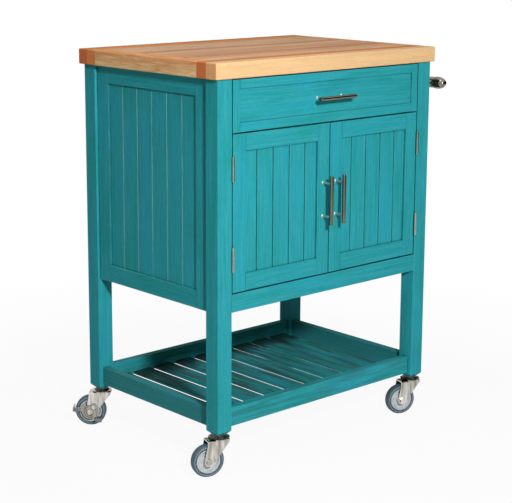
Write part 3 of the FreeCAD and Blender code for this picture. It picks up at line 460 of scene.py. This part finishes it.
def oiledWood(name, board, roughness):
    look = butcherBlock
    mat, tree, shader = newMaterial(name)
    run, axis, number = grainSpace(tree, board)
    figure = woodNoise(tree, run, board.get("figureMm", look["figureMm"]), distortion=0.5)
    grain = woodNoise(tree, run, look["grainMm"], detail=2.0)
    pore = woodNoise(tree, run, look["poreMm"], detail=1.0)
    if "stops" in board:  # one tone for each strip, in order
        stops = board["stops"]
        low, high = stops[0][0], stops[-1][0]
        place = addNode(tree, "MapRange", {0: axis[board["pitch"][0]], 1: low, 2: high})[0]
        ramp = [((mm - low) / (high - low), tone) for mm, tone in stops]
    elif number is not None:  # one tone for each stave, by chance
        place = addNode(tree, "TexWhiteNoise", {"W": number}, noise_dimensions="1D")[0]
        ramp = [(i / len(board["tones"]), tone) for i, tone in enumerate(board["tones"])]
    else:  # from dark to light with the figure
        place = figure
        if "lean" in board:  # heartwood lies towards the upper face
            letter, low, high, lean = board["lean"]
            rise = addNode(tree, "MapRange", {0: axis[letter], 1: low, 2: high, 3: lean, 4: -lean})[0]
            place = addNode(tree, "Math", {0: figure, 1: rise}, operation="ADD")[0]
        ramp = list(zip((look["heartNoise"], look["sapNoise"]), board["tones"]))
    colour = addNode(tree, "ValToRGB", {0: place}, ramp=ramp)[0]
    if number is not None:
        colour.node.color_ramp.interpolation = "CONSTANT"
    contrast = board.get("contrast", 1.0)
    for pattern, key in ((figure, "figureTone"), (grain, "grainTone"), (pore, "poreTone")):
        low, high, dark, light = look[key]
        tone = addNode(tree, "MapRange", {
            0: pattern, 1: low, 2: high, 3: 1 + (dark - 1) * contrast, 4: 1 + (light - 1) * contrast})[0]
        colour = addNode(tree, "Mix", {0: 1.0, 6: colour, 7: tone}, data_type="RGBA",
                         blend_type="MULTIPLY")[2]
    if "stops" in board:  # the strips' ends, cut across the grain
        facing = addNode(tree, "SeparateXYZ", {0: addNode(tree, "NewGeometry")["Normal"]})["X"]
        facing = addNode(tree, "Math", {0: facing}, operation="ABSOLUTE")[0]
        atEnd = addNode(tree, "Math", {0: facing, 1: look["endFacing"]}, operation="GREATER_THAN")[0]
        colour = addNode(tree, "Mix", {0: atEnd, 6: colour, 7: linear(look["endGrain"])}, data_type="RGBA",
                         blend_type="MULTIPLY")[2]
    elif "pitch" in board:  # glue lines between the staves
        letter, start, width = board["pitch"]
        off = addNode(tree, "Math", {0: axis[letter], 1: start}, operation="SUBTRACT")[0]
        off = addNode(tree, "Math", {0: off, 1: width / 2}, operation="PINGPONG")[0]
        line = addNode(tree, "MapRange", {
            0: off, 1: look["jointMm"], 2: 0.0, 3: 0.0, 4: look["glueShare"]})[0]
        colour = addNode(tree, "Mix", {0: line, 6: colour, 7: linear(look["glue"])}, data_type="RGBA")[2]
    tree.links.new(colour, shader.inputs["Base Color"])
    shader.inputs["Specular IOR Level"].default_value = look["specular"]
    low, high = roughness
    gloss = addNode(tree, "MapRange", {0: grain, 1: noiseLow, 2: noiseHigh, 3: low, 4: high})[0]
    tree.links.new(gloss, shader.inputs["Roughness"])
    height = addNode(tree, "Math", {0: grain, 1: pore}, operation="ADD")[0]
    bump = addNode(tree, "Bump", {
        "Height": height, "Strength": look["bumpStrength"], "Distance": look["bumpMm"] / 1000})[0]
    tree.links.new(bump, shader.inputs["Normal"])
    return mat


def dressTop():
    look = butcherBlock
    low, high = boxMm("worktop_staves")
    staves = {
        "along": "X", "pitch": ("Y", low.y, (high.y - low.y) / look["staveCount"]), "tones": look["tones"],
        "figureMm": look["staveFigureMm"], "contrast": look["staveContrast"]}
    dress(oiledWood("rubberwood_stave", staves, look["roughness"]), "worktop_staves")
    low, high = boxMm("worktop_edge_strips")
    strip = look["strip"]
    edges = {"along": "X", "pitch": ("Y", low.y, strip), "contrast": look["edgeContrast"], "stops": [
        (low.y - 1, look["honey"]), (low.y + strip, look["rust"]), (low.y + 2 * strip, look["tan"]),
        (high.y - strip, look["rust"]), (high.y + 1, look["rust"])]}
    dress(oiledWood("rubberwood_edge_strip", edges, look["roughness"]), "worktop_edge_strips")
    low, high = boxMm("worktop_end_strips")
    ends = {
        "along": "Y", "figureMm": look["endFigureMm"], "tones": (look["heart"], look["sap"]),
        "contrast": look["endContrast"], "lean": ("Z", low.z, high.z, look["endLean"])}
    dress(oiledWood("rubberwood_end_strip", ends, look["roughness"]), "worktop_end_strips")


dressTop()

# birch inside the case: pale, straight-grained, sealed but not stained
insideWood = {"tones": ("#B98F62", "#D8B68A"), "roughness": (0.5, 0.65)}


def dressInside():
    for along, names in (
        ("X", ("cupboard_floor", "cupboard_shelf", "inner_front_rails", "drawer_ends", "drawer_bottom")),
        ("Y", ("drawer_sides", "case_battens")),
    ):
        board = {"along": along, "tones": insideWood["tones"]}
        dress(oiledWood("sealed_birch_" + along.lower(), board, insideWood["roughness"]), *names)


dressInside()
print("plain wood dressed")


# metals, rubber and plastics
brushedNickel = {  # drawn bars, brushed along their length and toned dark: warm brown-grey with soft streaks
    # post: the posts painted pale as a painted highlight
    "dark": "#5A5549", "light": "#8F8A79", "post": "#BFC4C0", "postRoughness": 0.5, "barDepth": 9.3,
    "brushMm": (0.9, 45), "roughness": (0.14, 0.22)}  # brush lines drawn coarse
polishedNickel = {  # turned towel posts and knobs: bright warm silver that mirrors the room in bands
    "dark": "#736C61", "light": "#968F83", "brushMm": (6, 6), "roughness": (0.1, 0.18)}
satinNickel = {  # rolled hinge leaves: pale warm silver, dulled by handling
    "dark": "#777A72", "light": "#C6C9C0", "brushMm": (0.9, 30), "roughness": (0.18, 0.3),  # drawn coarse
    # edge is a painted highlight, foldShade is painted shade
    "edge": "#D8DAD2", "foldShade": "#3A3F3A", "edgeMm": 0.6, "foldMm": 3}
zincSteel = {  # pressed sheet with bright zinc: warm silver in upright clouds, painted highlights on the edges, painted shade in the folds
    "dark": "#938D80", "light": "#E0DED8", "brushMm": (7, 50), "roughness": (0.18, 0.3),
    "edge": "#F4F3EE", "foldShade": "#5A554B", "edgeMm": 1.2, "foldMm": 5}
shadedLeverSteel = {  # stamped brake lever: zinc painted darker brown-grey as painted shade, with a painted highlight along its edges
    "dark": "#767066", "light": "#A8A297", "brushMm": (7, 50), "roughness": (0.2, 0.32),
    "edge": "#F6F5F0", "foldShade": "#463F37", "edgeMm": 1.6, "foldMm": 5}
greaseAndShadeSteel = {  # ball race under the leg: grey steel, painted dark for grease and for the shade under the leg
    "dark": "#3E3D39", "light": "#64625C", "brushMm": (5, 5), "roughness": (0.25, 0.4)}
foldShadeNear, foldShadeShare = (0.85, 0.4), 0.85  # from open faces to tight folds, and how much painted shade a fold gets


def metal(name, look, along="Z", postsFrom=None):
    mat, tree, shader = newMaterial(name)
    run, axis, _ = grainSpace(tree, {"along": along})
    lines = woodNoise(tree, run, look["brushMm"], detail=2.0, distortion=0.0)
    colour = addNode(tree, "ValToRGB", {0: lines}, ramp=[
        (noiseLow, look["dark"]), (noiseHigh, look["light"])])[0]
    low, high = look["roughness"]
    gloss = addNode(tree, "MapRange", {0: lines, 1: noiseLow, 2: noiseHigh, 3: high, 4: low})[0]
    if postsFrom is not None:  # painted highlight: the posts behind a toned bar are painted pale, and made matt
        post = addNode(tree, "Math", {0: axis["Y"], 1: postsFrom}, operation="GREATER_THAN")[0]
        colour = addNode(tree, "Mix", {0: post, 6: colour, 7: linear(look["post"])}, data_type="RGBA")[2]
        gloss = addNode(tree, "Mix", {0: post, 2: gloss, 3: look["postRoughness"]}, data_type="FLOAT")[0]
    if "edge" in look:  # painted highlight along the edges, painted shade in the folds
        bright = wearAndHighlightEdges(tree, look["edgeMm"])
        colour = addNode(tree, "Mix", {0: bright, 6: colour, 7: linear(look["edge"])}, data_type="RGBA")[2]
        nearness = addNode(tree, "AmbientOcclusion", {"Distance": look["foldMm"] / 1000}, samples=6)["AO"]
        begin, full = foldShadeNear
        share = addNode(tree, "MapRange", {0: nearness, 1: begin, 2: full, 3: 0.0, 4: foldShadeShare})[0]
        colour = addNode(tree, "Mix", {0: share, 6: colour, 7: linear(look["foldShade"])}, data_type="RGBA")[2]
    tree.links.new(colour, shader.inputs["Base Color"])
    tree.links.new(gloss, shader.inputs["Roughness"])
    shader.inputs["Metallic"].default_value = 1.0
    return mat


mouldBump = 0.3  # strength
mouldings = {
    "blue_grey_rubber": {  # tyres: soft, dusty, satin
        "dark": "#3A505C", "light": "#536B78", "mottleMm": 9, "roughness": (0.5, 0.66), "bumpMm": 0.1},
    "painted_highlight_bead": {  # the tyres' moulding lines, painted pale as a painted highlight ring
        "dark": "#8A9FA8", "light": "#A3B5BC", "mottleMm": 9, "roughness": (0.4, 0.55), "bumpMm": 0.05},
    "pale_grey_nylon": {  # hubs: slightly waxy
        "dark": "#BDC1C3", "light": "#D6D8D8", "mottleMm": 12, "roughness": (0.38, 0.5), "bumpMm": 0.05},
    "grey_rubber": {  # foot pads: soft grey, scuffed by shoes
        "dark": "#67757A", "light": "#84939A", "mottleMm": 5, "roughness": (0.4, 0.55), "bumpMm": 0.1},
    "brown_catch_plastic": {  # catch housings: even brown with a low sheen
        "dark": "#6A4A32", "light": "#7D5A3E", "mottleMm": 8, "roughness": (0.4, 0.55), "bumpMm": 0.05},
}


def moulded(name):
    look = mouldings[name]
    mat, tree, shader = newMaterial(name)
    run, _, _ = grainSpace(tree, {"along": "Z"})
    mottle = woodNoise(tree, run, (look["mottleMm"], look["mottleMm"]), detail=4.0)
    colour = addNode(tree, "ValToRGB", {0: mottle}, ramp=[
        (noiseLow, look["dark"]), (noiseHigh, look["light"])])[0]
    tree.links.new(colour, shader.inputs["Base Color"])
    low, high = look["roughness"]
    gloss = addNode(tree, "MapRange", {0: mottle, 1: noiseLow, 2: noiseHigh, 3: low, 4: high})[0]
    tree.links.new(gloss, shader.inputs["Roughness"])
    bump = addNode(tree, "Bump", {
        "Height": mottle, "Strength": mouldBump, "Distance": look["bumpMm"] / 1000})[0]
    tree.links.new(bump, shader.inputs["Normal"])
    return mat


barBack = {}  # mm, where each bar ends and its posts begin
for pull in ("left_door_pull", "drawer_pull"):
    barBack[pull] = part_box(pull)[0].y * 1000 + brushedNickel["barDepth"]
nickelUp = metal("brushed_nickel_upright", brushedNickel, "Z", barBack["left_door_pull"])
nickelAcross = metal("brushed_nickel_across", brushedNickel, "X", barBack["drawer_pull"])
towelNickel = metal("polished_nickel", polishedNickel, "Y")
hingeNickel = metal("satin_nickel", satinNickel)
zinc = metal("bright_zinc_steel", zincSteel)
tyreRubber = moulded("blue_grey_rubber")
beadHighlightRubber = moulded("painted_highlight_bead")
hubNylon = moulded("pale_grey_nylon")
padRubber = moulded("grey_rubber")
catchPlastic = moulded("brown_catch_plastic")

for side in ("left", "right"):
    dress(nickelUp, side + "_door_pull")
    dress(hingeNickel, side + "_door_hinge_leaves", side + "_door_strike")
dress(hingeNickel, "hinge_leg_leaves")
dress(nickelAcross, "drawer_pull")
dress(towelNickel, "towel_rod", "towel_fittings")
dress(metal("grease_and_shade_steel", greaseAndShadeSteel), "caster_stems")
dress(metal("rolled_zinc_steel", zincSteel, "Y"), "drawer_slide_channels", "drawer_slide_rails")
dress(zinc, "shelf_pins")
dress(catchPlastic, "door_catches")
for corner in ("front_left", "front_right", "rear_left", "rear_right"):
    dress(zinc, corner + "_fork")
    dress(hubNylon, corner + "_hub")
    dress(tyreRubber, corner + "_tyre")
lever = metal("shaded_zinc_lever", shadedLeverSteel)
for corner in ("rear_left", "rear_right"):
    dress(lever, corner + "_brake_lever")
    dress(padRubber, corner + "_brake_pad")
print("metal, rubber and plastic dressed")


# small fasteners and rims that the solids leave out, in mm
def lathe(bm, profile, place, ahead, segments=16, ring=False):  # a skin through rings of (radii, height)
    side = ahead.orthogonal().normalized()
    other = ahead.cross(side)
    rows = []
    for radii, height in profile:
        row = []
        for k in range(segments):
            turn = 2 * math.pi * k / segments
            out = side * math.cos(turn) + other * math.sin(turn)
            row.append(bm.verts.new((place + out * radii[k % len(radii)] + ahead * height) / 1000))
        rows.append(row)
    pairs = list(zip(rows, rows[1:]))
    if ring:
        pairs.append((rows[-1], rows[0]))
    else:
        bm.faces.new(rows[0][::-1])
        bm.faces.new(rows[-1])
    for low, high in pairs:
        for k in range(segments):
            bm.faces.new((low[k - 1], low[k], high[k], high[k - 1]))


screw = {
    "cross": (0.62, 0.2, 0.2, 0.2), "rim": 0.8, "recess": 0.7,  # shares of the head
    "flat": (2.6, 0.15), "pan": (3.4, 1.5), "slat": (3.2, 0.3),  # radius and height of a head
    "sunk": 0.4,
}


def screwHead(bm, place, ahead, kind):
    radius, proud = screw[kind]
    cross = [radius * share for share in screw["cross"]]
    lathe(bm, [
        ([radius], -screw["sunk"]), ([radius], proud / 2), ([radius * screw["rim"]], proud), (cross, proud),
        ([r * screw["rim"] for r in cross], proud * (1 - screw["recess"])),
    ], Vector(place), Vector(ahead))


hinge = {
    "length": 54.0, "barrel": 3.0, "leafStart": 3.3, "leafWidth": 16.0, "face": 0.3,
    "rows": (9, 27, 45), "stagger": 2.5,
}


def hingeScrews():
    legSide = bmesh.new()
    for side, turn in (("left", 1), ("right", -1)):
        doorSide = bmesh.new()
        low, high = boxMm(side + "_door_hinge_leaves")
        axisX = (low.x + high.x) / 2
        leafMid = low.y + hinge["barrel"] + hinge["leafStart"] + hinge["leafWidth"] / 2
        for foot in (low.z, high.z - hinge["length"]):
            for i, rise in enumerate(hinge["rows"]):
                y = leafMid + hinge["stagger"] * (1 if i % 2 else -1)
                screwHead(doorSide, (axisX + turn * hinge["face"], y, foot + rise), (-turn, 0, 0), "flat")
                screwHead(legSide, (axisX - turn * hinge["face"], y, foot + rise), (turn, 0, 0), "flat")
        newPiece(side + "_door_hinge_screws", doorSide, hingeNickel, side + "_door")
    newPiece("leg_hinge_screws", legSide, hingeNickel, "cart_frame")


pullScrew = {"halfSpacing": 38.0, "drawerBoard": 12.0}


def pullScrews():
    for side in ("left", "right"):
        bm = bmesh.new()
        mid = middle(side + "_door_pull")
        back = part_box(side + "_door_frame")[1].y * 1000
        for step in (-1, 1):
            screwHead(bm, (mid.x, back, mid.z + step * pullScrew["halfSpacing"]), (0, 1, 0), "pan")
        newPiece(side + "_pull_screws", bm, zinc, side + "_door")
    bm = bmesh.new()
    mid = middle("drawer_pull")
    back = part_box("drawer_ends")[0].y * 1000 + pullScrew["drawerBoard"]
    for step in (-1, 1):
        screwHead(bm, (mid.x + step * pullScrew["halfSpacing"], back, mid.z), (0, 1, 0), "pan")
    newPiece("drawer_pull_screws", bm, zinc, "drawer")


slideScrew = {"sheet": 1.5, "railLip": 11.2, "inset": 45.0}


def slideScrews():
    for node, body, faceIn in (
        ("drawer_slide_channels", "cart_frame", slideScrew["sheet"]),
        ("drawer_slide_rails", "drawer", slideScrew["railLip"] - slideScrew["sheet"]),
    ):
        bm = bmesh.new()
        low, high = boxMm(node)
        outward = 1 if body == "cart_frame" else -1
        for y in (low.y + slideScrew["inset"], (low.y + high.y) / 2, high.y - slideScrew["inset"]):
            z = (low.z + high.z) / 2
            screwHead(bm, (low.x + faceIn, y, z), (outward, 0, 0), "pan")
            screwHead(bm, (high.x - faceIn, y, z), (-outward, 0, 0), "pan")
        newPiece(node + "_screws", bm, zinc, body)


catch = {
    "halfWidth": 21.0, "screwOut": 15.0,
    "poleLength": 30.0, "poleHeight": 2.0, "poleProud": 0.15, "poleRise": 3.0,
}


def catchPoles():
    bm = bmesh.new()
    low, high = boxMm("door_catches")
    for x in (low.x + catch["halfWidth"], high.x - catch["halfWidth"]):
        for step in (-1, 1):
            screwHead(bm, (x + step * catch["screwOut"], (low.y + high.y) / 2, low.z), (0, 0, -1), "pan")
            pole = Vector((x, low.y, (low.z + high.z) / 2 + step * catch["poleRise"])) / 1000
            size = Vector((catch["poleLength"], 2 * catch["poleProud"], catch["poleHeight"])) / 1000
            bmesh.ops.create_cube(bm, size=1.0, matrix=Matrix.LocRotScale(pole, None, size))
    newPiece("catch_poles_and_screws", bm, zinc, "cart_frame")


def slatScrews():
    bm = bmesh.new()
    low, high = boxMm("shelf_slats")
    span = high.x - low.x - slat["width"]
    for i in range(slat["count"]):
        mid = low.x + slat["width"] / 2 + i * span / (slat["count"] - 1)
        for y in (low.y + slat["screwInset"], high.y - slat["screwInset"]):
            for step in (-1, 1):
                screwHead(bm, (mid + step * slat["screwOut"], y, low.z), (0, 0, -1), "slat")
    newPiece("slat_screws", bm, zinc, "cart_frame")


tyreBead = {"radius": 32.0, "halfWidth": 9.6, "section": 0.7, "sides": 8, "segments": 72}


def tyreBeads():
    for joint in frame["record"]["behaviour"]["joints"]:
        if not joint["name"].endswith("_wheel_spin"):
            continue
        corner = joint["name"].removesuffix("_wheel_spin")
        bm = bmesh.new()
        axle, centre = Vector(joint["axis"]), Vector(joint["pos_m"]) * 1000
        for side in (-1, 1):
            profile = []
            for k in range(tyreBead["sides"]):
                turn = 2 * math.pi * k / tyreBead["sides"]
                profile.append(([tyreBead["radius"] + tyreBead["section"] * math.cos(turn)],
                                tyreBead["halfWidth"] + tyreBead["section"] * math.sin(turn)))
            lathe(bm, profile, centre, axle * side, tyreBead["segments"], ring=True)
        bead = newPiece(corner + "_tyre_beads", bm, beadHighlightRubber, corner + "_wheel")
        bead.data.shade_smooth()


hingeScrews()
pullScrews()
slideScrews()
catchPoles()
slatScrews()
tyreBeads()
print("screws, catch poles and tyre beads made")
